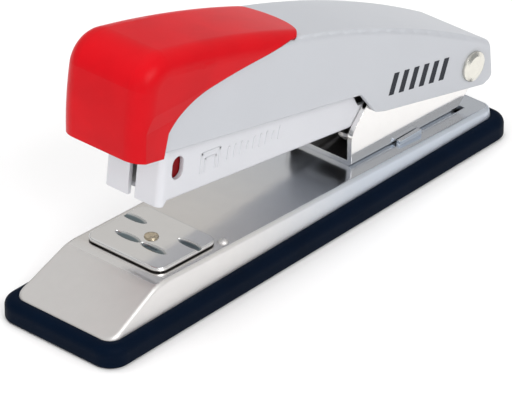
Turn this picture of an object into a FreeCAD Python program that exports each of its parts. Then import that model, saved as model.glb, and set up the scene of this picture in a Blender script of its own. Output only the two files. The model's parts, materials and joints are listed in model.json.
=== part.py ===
import FreeCAD, Part
import math
import os
import Sketcher

# A desktop stapler: boot, base, anvil, sprung magazine with staple pusher, and a capped handle.
# Row frame: +Z up, the staple exit towards -X, the hinge towards +X, origin under the base.
# The magazine and the handle are drawn level about the hinge pin, then tipped to their rest angles.

SIZES = [
    ("base_length", 128.0),
    ("base_width", 32.7),
    ("boot_height", 5.0),
    ("boot_floor", 1.6),
    ("boot_corner", 4.6),
    ("boot_wall", 2.6),
    ("shell_thick", 1.0),
    ("shell_taper", 7.5),
    ("skirt_top", 4.6),
    ("deck_height", 11.75),
    ("deck_fall", 2.43),
    ("ramp_run", 17.9),
    ("pivot_back", 6.9),
    ("pivot_height", 17.6),
    ("pin_radius", 2.0),
    ("pin_head_radius", 3.45),
    ("pin_head_height", 1.0),
    ("run_clear", 0.05),
    ("side_gap", 0.2),
    ("nose_back", 23.6),
    ("channel_width", 15.4),
    ("channel_wall", 1.0),
    ("channel_below", 5.25),
    ("channel_above", 9.5),
    ("magazine_pitch", 7.9),
    ("handle_pitch", 12.0),
    ("bracket_thick", 1.2),
    ("handle_wall", 1.0),
    ("handle_top", 19.0),
    ("handle_radius", 270.0),
    ("cap_wall", 1.8),
    ("cap_top", 22.75),
    ("cap_radius", 274.0),
    ("anvil_length", 18.3),
    ("anvil_width", 21.0),
    ("anvil_thick", 1.15),
    ("rail_wall", 0.8),
    ("rail_top", 1.5),
    ("rod_radius", 1.0),
    ("blade_thick", 0.8),
    ("spring_wire", 0.4),
    ("boot_top_round", 2.0),
    ("boot_foot_round", 0.8),
    ("skirt_corner", 3.0),
    ("ramp_foot_drop", 0.6),
    ("ramp_shoulder", 2.3),
    ("deck_edge_round", 1.0),
    ("rivet_front_back", 29.0),
    ("rivet_rear_back", 9.0),
    ("base_rivet_radius", 1.5),
    ("small_rivet_radius", 1.2),
    ("tab_length", 3.2),
    ("pip_radius", 1.3),
    ("clip_length", 7.0),
    ("clip_width", 1.1),
    ("clip_height", 1.5),
    ("bracket_length", 34.8),
    ("bracket_back", 3.9),
    ("bracket_top", 5.4),
    ("ear_nose_round", 5.0),
    ("ear_round", 2.4),
    ("bend_round", 1.1),
    ("lift_thick", 0.5),
    ("lift_width", 9.0),
    ("lift_reach", 34.0),
    ("anvil_inset", 5.85),
    ("anvil_corner", 2.5),
    ("anvil_rim", 0.45),
    ("anvil_gap_height", 0.3),
    ("anvil_gap_depth", 0.7),
    ("groove_apart", 6.5),
    ("groove_inner", 3.55),
    ("groove_outer", 7.9),
    ("groove_deep", 0.75),
    ("groove_wide", 1.15),
    ("groove_long", 3.5),
    ("anvil_stem_radius", 1.2),
    ("anvil_stem_drop", 7.2),
    ("anvil_washer_radius", 5.0),
    ("anvil_washer_thick", 1.2),
    ("anvil_spring_mean", 3.0),
    ("anvil_spring_wire", 0.6),
    ("anvil_spring_pitch", 1.5),
    ("exit_length", 1.5),
    ("channel_tail", 4.5),
    ("channel_nose_round", 1.5),
    ("channel_tail_round", 2.5),
    ("channel_floor_round", 0.7),
    ("nose_tab", 0.9),
    ("slot_width", 1.9),
    ("window_back", 3.1),
    ("window_length", 3.4),
    ("window_low", 0.75),
    ("window_height", 1.9),
    ("staple_gap", 0.85),
    ("rod_lift", 1.6),
    ("rear_stop_front", 21.0),
    ("rear_stop_thick", 3.0),
    ("pusher_length", 13.0),
    ("pusher_above_rail", 2.7),
    ("pusher_gap", 0.15),
    ("spring_mean", 1.62),
    ("spring_pitch", 2.3),
    ("handle_bend", 16.5),
    ("handle_front", 6.5),
    ("handle_edge", 0.95),
    ("shoulder_round", 1.3),
    ("ear_drop", 4.6),
    ("ear_length", 28.9),
    ("tail_drop", 5.3),
    ("tail_back", 7.7),
    ("tail_x", 4.9),
    ("tail_top", 4.9),
    ("ear_corner_round", 1.6),
    ("cap_front_out", 11.8),
    ("cap_length", 54.8),
    ("cap_nose_lean", 1.7),
    ("cap_nose_drop", 7.0),
    ("cap_nose_round", 7.6),
    ("cap_front_bulge", 75.0),
    ("cap_back_drop", 4.8),
    ("cap_side_out", 1.0),
    ("cap_round", 4.4),
    ("cap_tip_radius", 11.6),
    ("cap_tip_back", 28.5),
    ("relief_slope", 11.3),
    ("relief_depth", 0.42),
    ("relief_length", 42.0),
    ("blade_side_gap", 0.4),
    ("carrier_width", 11.0),
    ("leaf_thick", 0.6),
    ("leaf_width", 14.4),
]


class Size:
    """A length or an angle that carries both its value and the expression it came from."""

    def __init__(self, value, text):
        self.value = float(value)
        self.text = text

    def __add__(self, other):
        other = size(other)
        return Size(self.value + other.value, "(%s + %s)" % (self.text, other.text))

    def __radd__(self, other):
        return size(other) + self

    def __sub__(self, other):
        other = size(other)
        return Size(self.value - other.value, "(%s - %s)" % (self.text, other.text))

    def __rsub__(self, other):
        return size(other) - self

    def __mul__(self, other):
        other = size(other)
        return Size(self.value * other.value, "(%s * %s)" % (self.text, other.text))

    def __rmul__(self, other):
        return size(other) * self

    def __truediv__(self, other):
        other = size(other)
        return Size(self.value / other.value, "(%s / %s)" % (self.text, other.text))

    def __neg__(self):
        return Size(0, "0") - self


def size(value):
    if isinstance(value, Size):
        return value
    return Size(value, "%.6f" % value if value >= 0 else "(0 - %.6f)" % -value)


def sine(angle):
    return Size(math.sin(math.radians(angle.value)), "sin(%s * 1 deg)" % angle.text)


def cosine(angle):
    return Size(math.cos(math.radians(angle.value)), "cos(%s * 1 deg)" % angle.text)


def root(value):
    return Size(math.sqrt(value.value), "sqrt(%s)" % value.text)


def tangent(angle):
    return Size(math.tan(math.radians(angle.value)), "tan(%s * 1 deg)" % angle.text)


doc = FreeCAD.newDocument("stapler")
sheet = doc.addObject("Spreadsheet::Sheet", "dims")
d = {}
for row, (name, number) in enumerate(SIZES, start=1):
    sheet.set("A%d" % row, name)
    sheet.set("B%d" % row, str(number))
    sheet.setAlias("B%d" % row, name)
    d[name] = Size(number, "dims.%s" % name)
doc.recompute()

# Sizes that follow from the driving ones.
half_length = d["base_length"] / 2
pivot_x = half_length - d["pivot_back"]
pivot_z = d["pivot_height"]
reach = d["base_length"] - d["pivot_back"] - d["nose_back"]
deck_front = d["ramp_run"] - half_length
channel_half = d["channel_width"] / 2
channel_inner = channel_half - d["channel_wall"]
ear_inner = channel_half + d["side_gap"]
ear_outer = ear_inner + d["bracket_thick"]
handle_inner = ear_outer + d["side_gap"]
handle_half = handle_inner + d["handle_wall"]
pin_hole = d["pin_radius"] + d["run_clear"]
fall_slope = tangent(d["deck_fall"])


# The anvil stands a set distance behind the foot of the magazine's front wall.
nose_foot_x = pivot_x - reach * cosine(d["magazine_pitch"]) - d["channel_below"] * sine(d["magazine_pitch"])
anvil_x = nose_foot_x + d["anvil_inset"]


def deck(x):
    """Height of the base's sloping deck at x."""
    return d["deck_height"] - fall_slope * (size(x) - deck_front)


def body(label, x=0, y=0, z=0, pitch=None):
    made = doc.addObject("PartDesign::Body", label)
    made.Label = label
    place(made, x, y, z, pitch)
    return made


def place(thing, x, y, z, pitch=None):
    x, y, z = size(x), size(y), size(z)
    angle = pitch.value if pitch else 0.0
    turn = FreeCAD.Rotation(FreeCAD.Vector(0, 1, 0), angle)
    thing.Placement = FreeCAD.Placement(FreeCAD.Vector(x.value, y.value, z.value), turn)
    thing.setExpression("Placement.Base.x", x.text)
    thing.setExpression("Placement.Base.y", y.text)
    thing.setExpression("Placement.Base.z", z.text)
    if pitch:
        thing.setExpression("Placement.Rotation.Angle", "%s * 1 deg" % pitch.text)


def on_magazine(label):
    return body(label, pivot_x, 0, pivot_z, d["magazine_pitch"])


def on_handle(label):
    return body(label, pivot_x, 0, pivot_z, d["handle_pitch"])


def sketch(owner, name, plane, offset=None):
    made = owner.newObject("Sketcher::SketchObject", name)
    wanted = [o for o in owner.Origin.OriginFeatures if o.Role == plane + "_Plane"]
    made.AttachmentSupport = [(wanted[0], "")]
    made.MapMode = "FlatFace"
    if offset is not None:
        offset = size(offset)
        made.AttachmentOffset = FreeCAD.Placement(
            FreeCAD.Vector(0, 0, offset.value), FreeCAD.Rotation()
        )
        made.setExpression("AttachmentOffset.Base.z", offset.text)
    return made


def fix(drawing, kind, geometry, point, amount, name):
    """Hold one coordinate of a sketch point at a bound distance from the sketch's origin."""
    amount = size(amount)
    if abs(amount.value) < 1e-9:
        axis = -2 if kind == "DistanceX" else -1
        drawing.addConstraint(Sketcher.Constraint("PointOnObject", geometry, point, axis))
        return
    made = drawing.addConstraint(
        Sketcher.Constraint(kind, -1, 1, geometry, point, amount.value)
    )
    drawing.renameConstraint(made, name)
    drawing.setExpression("Constraints." + name, amount.text)


def outline(owner, name, plane, points, bends=None, offset=None):
    """A closed outline. bends maps a point's number to the radius of the arc that leaves it:
    positive bulges to the left of the way the outline runs, negative to the right."""
    bends = bends or {}
    drawing = sketch(owner, name, plane, offset)
    points = [(size(x), size(y)) for x, y in points]
    count = len(points)
    for i in range(count):
        a = FreeCAD.Vector(points[i][0].value, points[i][1].value, 0)
        b = FreeCAD.Vector(points[(i + 1) % count][0].value, points[(i + 1) % count][1].value, 0)
        if i not in bends:
            drawing.addGeometry(Part.LineSegment(a, b), False)
            continue
        radius = size(bends[i])
        way = b - a
        side = FreeCAD.Vector(-way.y, way.x, 0).normalize()
        turn = 1 if radius.value > 0 else -1
        full = abs(radius.value)
        rise = full - math.sqrt(max(full * full - way.Length * way.Length / 4, 0))
        middle = (a + b) * 0.5 + side * (turn * rise)
        drawing.addGeometry(Part.Arc(a, middle, b), False)
    starts = []
    for i in range(count):
        first = 1
        if i in bends:
            start = drawing.getPoint(i, 1)
            wanted = FreeCAD.Vector(points[i][0].value, points[i][1].value, 0)
            if (start - wanted).Length > 1e-6:
                first = 2
        starts.append(first)
    for i in range(count):
        after = (i + 1) % count
        drawing.addConstraint(
            Sketcher.Constraint("Coincident", i, 3 - starts[i], after, starts[after])
        )
    for i, (x, y) in enumerate(points):
        fix(drawing, "DistanceX", i, starts[i], x, "across_%d" % i)
        fix(drawing, "DistanceY", i, starts[i], y, "up_%d" % i)
    for i, radius in bends.items():
        radius = size(radius)
        if radius.value < 0:
            radius = -radius
        made = drawing.addConstraint(Sketcher.Constraint("Radius", i, radius.value))
        drawing.renameConstraint(made, "bend_%d" % i)
        drawing.setExpression("Constraints.bend_%d" % i, radius.text)
    return drawing


def box(owner, name, plane, x0, x1, y0, y1, offset=None):
    return outline(owner, name, plane, [(x0, y0), (x1, y0), (x1, y1), (x0, y1)], offset=offset)


def rounded(owner, name, plane, x0, x1, y0, y1, corner, offset=None):
    """A rectangle with rounded corners."""
    x0, x1, y0, y1 = size(x0), size(x1), size(y0), size(y1)
    corner = size(corner)
    points = [
        (x0 + corner, y0), (x1 - corner, y0), (x1, y0 + corner), (x1, y1 - corner),
        (x1 - corner, y1), (x0 + corner, y1), (x0, y1 - corner), (x0, y0 + corner),
    ]
    bends = {1: -corner, 3: -corner, 5: -corner, 7: -corner}
    return outline(owner, name, plane, points, bends, offset)


def disc(owner, name, plane, x, y, radius, offset=None):
    drawing = sketch(owner, name, plane, offset)
    x, y, radius = size(x), size(y), size(radius)
    centre = FreeCAD.Vector(x.value, y.value, 0)
    drawing.addGeometry(Part.Circle(centre, FreeCAD.Vector(0, 0, 1), radius.value), False)
    fix(drawing, "DistanceX", 0, 3, x, "across")
    fix(drawing, "DistanceY", 0, 3, y, "up")
    made = drawing.addConstraint(Sketcher.Constraint("Radius", 0, radius.value))
    drawing.renameConstraint(made, "radius")
    drawing.setExpression("Constraints.radius", radius.text)
    return drawing


def add(owner, kind, name, drawing, **settings):
    feature = owner.newObject("PartDesign::" + kind, name)
    feature.Profile = drawing
    for key, value in settings.items():
        if isinstance(value, Size):
            setattr(feature, key, value.value)
            feature.setExpression(key, value.text)
        else:
            setattr(feature, key, value)
    drawing.Visibility = False
    doc.recompute()
    if "Invalid" in feature.State or "Error" in feature.State:
        raise RuntimeError("%s failed on %s" % (name, owner.Label))
    return feature


def pad(owner, drawing, length, both=True, **more):
    name = drawing.Name + "_pad"
    return add(owner, "Pad", name, drawing, Length=size(length), Midplane=both, **more)


def cut(owner, drawing, length, both=True, **more):
    before = owner.Shape.Volume
    name = drawing.Name + "_cut"
    made = add(owner, "Pocket", name, drawing, Length=size(length), Midplane=both, **more)
    if owner.Shape.Volume > before - 1e-6:
        raise RuntimeError("%s removed nothing from %s" % (name, owner.Label))
    return made


def soften(owner, name, radius, wanted):
    """Round the edges of the body's latest shape that the test picks."""
    tip = owner.Tip
    picked = []
    for number, edge in enumerate(tip.Shape.Edges, start=1):
        if wanted(edge):
            picked.append("Edge%d" % number)
    if not picked:
        raise RuntimeError("no edge to round for %s on %s" % (name, owner.Label))
    radius = size(radius)
    feature = owner.newObject("PartDesign::Fillet", name)
    feature.Base = (tip, picked)
    feature.Radius = radius.value
    feature.setExpression("Radius", radius.text)
    doc.recompute()
    if "Invalid" in feature.State or "Error" in feature.State:
        raise RuntimeError("rounding %s failed on %s" % (name, owner.Label))
    return feature


def span(edge, axis):
    box_now = edge.BoundBox
    low = (box_now.XMin, box_now.YMin, box_now.ZMin)[axis]
    high = (box_now.XMax, box_now.YMax, box_now.ZMax)[axis]
    return low, high


def runs_along(edge, axis):
    """True for a straight edge parallel to the axis."""
    for other in range(3):
        low, high = span(edge, other)
        if other != axis and high - low > 1e-4:
            return False
    return True


def middle_of(edge):
    return edge.CenterOfMass


def turned(label, points, bends=None, **where):
    """A solid of revolution about the body's Z axis from an outline of (radius, height)."""
    made = body(label, **where)
    drawing = outline(made, label + "_profile", "XZ", points, bends)
    add(made, "Revolution", label + "_turned", drawing, Angle=360.0,
        ReferenceAxis=(drawing, ["V_Axis"]))
    return made


def coil(label, mean, wire, pitch, height, **where):
    """A helical spring about the body's Z axis; its ends stay inside 0 and height."""
    made = body(label, **where)
    drawing = disc(made, label + "_wire", "XZ", mean, wire / 2, wire / 2)
    add(made, "AdditiveHelix", label + "_coils", drawing, ReferenceAxis=(drawing, ["V_Axis"]),
        Mode=0, Pitch=size(pitch), Height=size(height) - wire)
    return made


def group(label, members):
    made = doc.addObject("Part::Compound", label)
    made.Label = label
    made.Links = members
    return made


def subtract(label, base, tool):
    made = doc.addObject("Part::Cut", label)
    made.Label = label
    made.Base = base
    made.Tool = tool
    doc.recompute()
    return made


def aim(thing, x, y, z, axis, angle, pitch=None):
    """Place a turned piece: first turned about axis by angle, then tipped by pitch at the pin."""
    turn = FreeCAD.Rotation(axis, angle)
    spot = FreeCAD.Vector(size(x).value, size(y).value, size(z).value)
    thing.Placement = FreeCAD.Placement(spot, turn)
    thing.setExpression("Placement.Base.x", size(x).text)
    thing.setExpression("Placement.Base.y", size(y).text)
    thing.setExpression("Placement.Base.z", size(z).text)


def tipped(x, z, pitch):
    """Where a point drawn level about the hinge pin stands once tipped by pitch."""
    x, z = size(x), size(z)
    across = pivot_x + x * cosine(pitch) + z * sine(pitch)
    up = pivot_z - x * sine(pitch) + z * cosine(pitch)
    return across, up


nodes = []


def keep(thing):
    nodes.append(thing)
    return thing


# ---------------------------------------------------------------- base

def rounded_block(owner, name, x0, x1, half, corner, bottom, height):
    drawing = rounded(owner, name, "XY", x0, x1, -size(half), half, corner, offset=bottom)
    pad(owner, drawing, height, both=False)


boot = keep(body("rubber_boot"))
rounded_block(boot, "boot", -half_length, half_length, d["base_width"] / 2, d["boot_corner"], 0,
              d["boot_height"])
soften(boot, "boot_top", d["boot_top_round"], lambda e: span(e, 2)[0] > d["boot_height"].value - 0.01)
soften(boot, "boot_foot", d["boot_foot_round"], lambda e: span(e, 2)[1] < 0.01)
skirt_end = half_length - d["boot_wall"]
skirt_half = d["base_width"] / 2 - d["boot_wall"]
skirt_corner = d["skirt_corner"]
recess = rounded(boot, "boot_recess", "XY", -skirt_end, skirt_end, -skirt_half, skirt_half,
                 skirt_corner, offset=d["boot_floor"])
cut(boot, recess, d["boot_height"] * 2, both=False, Reversed=True)


ramp_foot = d["skirt_top"] - d["ramp_foot_drop"]
ramp_rise = d["deck_height"] - ramp_foot
ramp_length = root(d["ramp_run"] * d["ramp_run"] + ramp_rise * ramp_rise)
ramp_along = d["ramp_run"] / ramp_length
ramp_up = ramp_rise / ramp_length
ramp_turn = Size(math.degrees(math.atan2(ramp_rise.value, d["ramp_run"].value)),
                 "(atan(%s / %s) / 1 deg)" % (ramp_rise.text, d["ramp_run"].text))
turn_in = d["ramp_shoulder"]
turn_radius = turn_in / tangent((ramp_turn + d["deck_fall"]) / 2)


def shell_form(label, inset, bottom, rise):
    """The base's tapered form: a straight skirt, drawn-in sides, and the ramp and deck on top."""
    made = body(label)
    end = skirt_end - inset
    half = skirt_half - inset
    corner = skirt_corner - size(inset) * 0.8
    rounded_block(made, label + "_skirt", -end, end, half, corner, bottom,
                  d["skirt_top"] - bottom)
    upper = rounded(made, label + "_upper", "XY", -end, end, -half, half, corner,
                    offset=d["skirt_top"])
    pad(made, upper, 9, both=False, TaperAngle=-d["shell_taper"])
    lift = size(rise)
    ramp = outline(made, label + "_top", "XZ",
                   [(-half_length, ramp_foot + lift),
                    (deck_front - turn_in * ramp_along, d["deck_height"] - turn_in * ramp_up + lift),
                    (deck_front + turn_in, deck(deck_front + turn_in) + lift),
                    (half_length, deck(half_length) + lift),
                    (half_length, 30), (-half_length, 30)],
                   {1: turn_radius})
    cut(made, ramp, d["base_width"] * 2)
    return made


shell_outer = shell_form("shell_outer", 0, d["boot_floor"], 0)
soften(shell_outer, "deck_edges", d["deck_edge_round"],
       lambda e: span(e, 2)[1] > d["skirt_top"].value + 0.6
       and span(e, 2)[1] <= d["deck_height"].value + 0.01
       and span(e, 1)[0] * span(e, 1)[1] > 1
       and span(e, 0)[1] - span(e, 0)[0] > 1.5)
shell_inner = shell_form("shell_inner", d["shell_thick"], d["boot_floor"] - 1, -d["shell_thick"])
anvil_hole = body("anvil_hole")
pad(anvil_hole, disc(anvil_hole, "anvil_hole_round", "XY", anvil_x, 0,
                     d["anvil_stem_radius"] + 0.15), 60)
rivet_stations = [pivot_x - d["rivet_front_back"], pivot_x - d["rivet_rear_back"]]
base_rivet_hole = d["base_rivet_radius"] + 0.12
rivet_holes = body("rivet_holes")
for number, station in enumerate(rivet_stations):
    pad(rivet_holes, disc(rivet_holes, "rivet_hole_%d" % number, "XY", station, 0,
                          base_rivet_hole), 60)
tab_slots = body("tab_slots")
tab_x = pivot_x - 3.0
for number, side in enumerate((-1, 1)):
    low = side * (ear_inner + d["bracket_thick"] / 2) - d["bracket_thick"] / 2 - 0.4
    pad(tab_slots, box(tab_slots, "tab_slot_%d" % number, "XY", tab_x - d["tab_length"] / 2,
                       tab_x + d["tab_length"] / 2, low, low + d["bracket_thick"] + 0.8), 60)
shell_voids = doc.addObject("Part::MultiFuse", "shell_voids")
shell_voids.Shapes = [shell_inner, anvil_hole, rivet_holes, tab_slots]
shell_plain = subtract("shell_plain", shell_outer, shell_voids)
pips = []
for number, side in enumerate((-1, 1)):
    if side < 0:
        pip = doc.addObject("Part::Sphere", "pip_%d" % number)
        pip.setExpression("Radius", d["pip_radius"].text)
        pip_x = anvil_x + d["anvil_length"] / 2 + 1.0
        place(pip, pip_x, side * (d["anvil_width"] / 2 + 0.2), deck(pip_x) - 0.6)
        pips.append(pip)
    clip = doc.addObject("Part::Box", "clip_%d" % number)
    clip.setExpression("Length", d["clip_length"].text)
    clip.setExpression("Width", d["clip_width"].text)
    clip.setExpression("Height", d["clip_height"].text)
    near = ear_outer + 0.15 if side > 0 else -(ear_outer + 0.15 + d["clip_width"])
    clip_x = pivot_x - d["rivet_front_back"] + 5.0
    place(clip, clip_x, near, deck(clip_x + d["clip_length"] / 2) - d["clip_height"] / 3)
    pips.append(clip)
shell = keep(doc.addObject("Part::MultiFuse", "base_shell"))
shell.Label = "base_shell"
shell.Shapes = [shell_plain] + pips

# ---------------------------------------------------------------- hinge bracket and pin

bracket = keep(body("hinge_bracket"))
bracket_rear = pivot_x - d["bracket_back"]
bracket_front = bracket_rear - d["bracket_length"]
bracket_side = outline(bracket, "bracket_side", "XZ", [
    (bracket_front, deck(bracket_front)),
    (bracket_rear, deck(bracket_rear)),
    (pivot_x + 3.6, pivot_z - 3.0),
    (pivot_x + 4.6, pivot_z + 1.0),
    (pivot_x + 1.0, pivot_z + 4.6),
    (bracket_front + 6.0, pivot_z + d["bracket_top"]),
    (bracket_front, pivot_z - 0.8),
])
pad(bracket, bracket_side, ear_outer * 2)
soften(bracket, "ear_nose", d["ear_nose_round"], lambda e: runs_along(e, 1)
       and abs(middle_of(e).x - bracket_front.value) < 0.1
       and middle_of(e).z > pivot_z.value - 1.5)
soften(bracket, "ear_rounds", d["ear_round"], lambda e: runs_along(e, 1)
       and (abs(middle_of(e).x - bracket_front.value - 6) < 0.1 or middle_of(e).x > bracket_rear.value + 2)
       and middle_of(e).z > pivot_z.value - 3.6)
floor_top = d["bracket_thick"]
bracket_gap = outline(bracket, "bracket_gap", "XZ", [
    (bracket_front - 5, deck(bracket_front - 5) + floor_top),
    (pivot_x + 15, deck(pivot_x + 15) + floor_top),
    (pivot_x + 15, pivot_z + 30),
    (bracket_front - 5, pivot_z + 30),
])
cut(bracket, bracket_gap, ear_inner * 2)
soften(bracket, "bracket_bends", d["bend_round"],
       lambda e: abs(abs(middle_of(e).y) - ear_outer.value) < 0.01
       and span(e, 0)[1] - span(e, 0)[0] > 20 and middle_of(e).z < pivot_z.value - 6)
cut(bracket, disc(bracket, "bracket_pin_holes", "XZ", pivot_x, pivot_z, d["pin_radius"]), 60)
for number, station in enumerate(rivet_stations):
    cut(bracket, disc(bracket, "bracket_rivet_hole_%d" % number, "XY", station, 0,
                      base_rivet_hole), 25)

pin_half = handle_half + d["run_clear"]
head_out = pin_half + d["pin_head_height"]
pin = keep(turned("pivot_pin", [
    (0, -head_out),
    (d["pin_head_radius"] * 0.72, -head_out),
    (d["pin_head_radius"], -head_out + 0.45),
    (d["pin_head_radius"], -pin_half),
    (d["pin_radius"], -pin_half),
    (d["pin_radius"], pin_half),
    (d["pin_head_radius"], pin_half),
    (d["pin_head_radius"], head_out - 0.45),
    (d["pin_head_radius"] * 0.72, head_out),
    (0, head_out),
], x=pivot_x, z=pivot_z))
aim(pin, pivot_x, 0, pivot_z, FreeCAD.Vector(1, 0, 0), 90)



def base_rivet(label, station, sheet_extra):
    top = d["bracket_thick"] + sheet_extra
    under = -d["shell_thick"]
    shank = d["base_rivet_radius"]
    wide = shank + 1.1
    made = turned(label, [
        (0, under - 0.8), (wide - 0.2, under - 0.8), (wide, under - 0.05), (shank, under - 0.05),
        (shank, top + 0.05), (wide, top + 0.05), (wide - 0.4, top + 0.75), (0, top + 0.95),
    ], x=station, z=deck(station))
    place(made, station, 0, deck(station), d["deck_fall"])
    return made


keep(group("bracket_rivets", [
    base_rivet("bracket_rivet_front", rivet_stations[0], 0),
    base_rivet("bracket_rivet_rear", rivet_stations[1], d["lift_thick"] + 0.05),
]))

# The lift spring is a leaf under the rear rivet that bears up on the magazine's underside.
lift = keep(body("lift_spring"))
touch_x, touch_z = tipped(-d["lift_reach"], -d["channel_below"], d["magazine_pitch"])
leaf_root = rivet_stations[1]
root_z = deck(leaf_root) + d["bracket_thick"] + 0.03
leaf_side = outline(lift, "lift_side", "XZ", [
    (leaf_root + 4.0, root_z - 4.0 * fall_slope),
    (leaf_root + 4.0, root_z - 4.0 * fall_slope + d["lift_thick"]),
    (leaf_root - 5.0, root_z + 5.0 * fall_slope + d["lift_thick"]),
    (touch_x + 1.5, touch_z - 0.35),
    (touch_x - 0.5, touch_z - 0.1),
    (touch_x - 2.6, touch_z - 1.2),
    (touch_x - 2.4, touch_z - 1.7),
    (touch_x - 0.5, touch_z - 0.1 - d["lift_thick"] * 1.1),
    (touch_x + 1.5, touch_z - 0.35 - d["lift_thick"] * 1.1),
    (leaf_root - 4.7, root_z + 4.7 * fall_slope),
])
pad(lift, leaf_side, d["lift_width"])
cut(lift, disc(lift, "lift_rivet_hole", "XY", leaf_root, 0, base_rivet_hole), 60)

# ---------------------------------------------------------------- anvil

anvil_z = deck(anvil_x)
anvil = keep(body("anvil_plate"))
plate = box(anvil, "plate", "XY", -d["anvil_length"] / 2, d["anvil_length"] / 2,
            -d["anvil_width"] / 2, d["anvil_width"] / 2, offset=d["anvil_gap_height"])
pad(anvil, plate, d["anvil_thick"] - d["anvil_gap_height"], both=False)
soften(anvil, "plate_corners", d["anvil_corner"], lambda e: runs_along(e, 2))
soften(anvil, "plate_rim", d["anvil_rim"], lambda e: span(e, 2)[0] > d["anvil_thick"].value - 0.01)
foot_x = d["anvil_length"] / 2 - d["anvil_gap_depth"]
foot_y = d["anvil_width"] / 2 - d["anvil_gap_depth"]
foot = rounded(anvil, "plate_foot", "XY", -foot_x, foot_x, -foot_y, foot_y, d["anvil_corner"])
pad(anvil, foot, d["anvil_gap_height"], both=False)
cut(anvil, disc(anvil, "plate_hole", "XY", 0, 0, d["anvil_stem_radius"] + 0.05), 9)
for number, (row, middle) in enumerate([
        (-0.5, -d["groove_inner"]), (-0.5, d["groove_inner"]),
        (0.5, -d["groove_outer"]), (0.5, d["groove_outer"])]):
    dish = anvil.newObject("PartDesign::SubtractiveEllipsoid", "groove_%d" % number)
    dish.setExpression("Radius1", d["groove_deep"].text)
    dish.setExpression("Radius2", d["groove_wide"].text)
    dish.setExpression("Radius3", d["groove_long"].text)
    place(dish, d["groove_apart"] * row, middle, d["anvil_thick"] + 0.05)
    doc.recompute()
place(anvil, anvil_x, 0, anvil_z, d["deck_fall"])

under_deck = -d["shell_thick"]
washer_top = -d["anvil_stem_drop"]
washer_low = washer_top - d["anvil_washer_thick"]
stem_radius = d["anvil_stem_radius"]
stem = keep(turned("anvil_rivet", [
    (0, washer_low - 0.4), (stem_radius + 0.4, washer_low - 0.4), (stem_radius + 0.4, washer_low),
    (stem_radius, washer_low), (stem_radius, d["anvil_thick"]),
    (stem_radius + 0.4, d["anvil_thick"]), (stem_radius + 0.25, d["anvil_thick"] + 0.35),
    (stem_radius - 0.5, d["anvil_thick"] + 0.5), (0, d["anvil_thick"] + 0.5),
]))
place(stem, anvil_x, 0, anvil_z, d["deck_fall"])
washer = keep(turned("anvil_washer", [
    (stem_radius, washer_low), (d["anvil_washer_radius"], washer_low),
    (d["anvil_washer_radius"], washer_top), (stem_radius, washer_top),
]))
place(washer, anvil_x, 0, anvil_z, d["deck_fall"])
hold_height = under_deck - washer_top - 0.3
anvil_spring = keep(coil("anvil_spring", d["anvil_spring_mean"], d["anvil_spring_wire"],
                         d["anvil_spring_pitch"], hold_height))
hold_x = anvil_x + (washer_top + 0.15) * sine(d["deck_fall"])
hold_z = anvil_z + (washer_top + 0.15) * cosine(d["deck_fall"])
place(anvil_spring, hold_x, 0, hold_z, d["deck_fall"])

# ---------------------------------------------------------------- magazine

below = -d["channel_below"]
floor_up = below + d["channel_wall"]
nose = -reach
exit_rear = nose + d["channel_wall"] + d["exit_length"]
channel = keep(on_magazine("magazine_channel"))
channel_side = outline(channel, "channel_side", "XZ", [
    (nose, below - d["nose_tab"]), (nose + d["channel_wall"] + 0.2, below - d["nose_tab"]),
    (nose + d["channel_wall"] + 0.9, below), (d["channel_tail"], below),
    (d["channel_tail"], 4.4), (-6.0, 4.4), (-12.0, -0.5), (-35.4, -0.5),
    (-41.0, 7.0), (nose + 27.5, d["channel_above"]), (nose, d["channel_above"]),
])
pad(channel, channel_side, d["channel_width"])
soften(channel, "channel_nose_bends", d["channel_nose_round"], lambda e: runs_along(e, 2)
       and abs(middle_of(e).x - nose.value) < 0.01)
soften(channel, "channel_rear", d["channel_tail_round"], lambda e: runs_along(e, 1)
       and abs(middle_of(e).x - d["channel_tail"].value) < 0.01)
channel_gap = box(channel, "channel_gap", "XZ", nose + d["channel_wall"], 20, floor_up, 40)
cut(channel, channel_gap, channel_inner * 2)
soften(channel, "channel_floor_bends", d["channel_floor_round"],
       lambda e: abs(abs(middle_of(e).y) - channel_half.value) < 0.01
       and span(e, 0)[1] - span(e, 0)[0] > 60 and middle_of(e).z < below.value + 0.1)
cut(channel, box(channel, "channel_exit", "XZ", nose + d["channel_wall"], exit_rear,
                 below - 5, floor_up + 1), channel_inner * 2)
cut(channel, box(channel, "channel_slot", "YZ", -d["slot_width"] / 2, d["slot_width"] / 2,
                 below - 5, 40, offset=nose),
    d["channel_wall"] * 2.2)
window_front = nose + d["window_back"]
window_rear = window_front + d["window_length"]
window_top = d["window_low"] + d["window_height"]
window = outline(channel, "channel_windows", "XZ", [
    (window_front, d["window_low"]), (window_rear, d["window_low"]),
    (window_rear, window_top), (window_front, window_top)],
    {0: -(d["window_length"] / 2 + 0.001), 2: -(d["window_length"] / 2 + 0.001)})
cut(channel, window, 60)
cut(channel, disc(channel, "channel_pin_holes", "XZ", 0, 0, pin_hole), 60)
rail_stations = [nose + 12.0, size(-8.0)]
for number, station in enumerate(rail_stations):
    cut(channel, disc(channel, "channel_rivet_hole_%d" % number, "XY", station, 0,
                      d["small_rivet_radius"], offset=below), 6)

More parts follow.
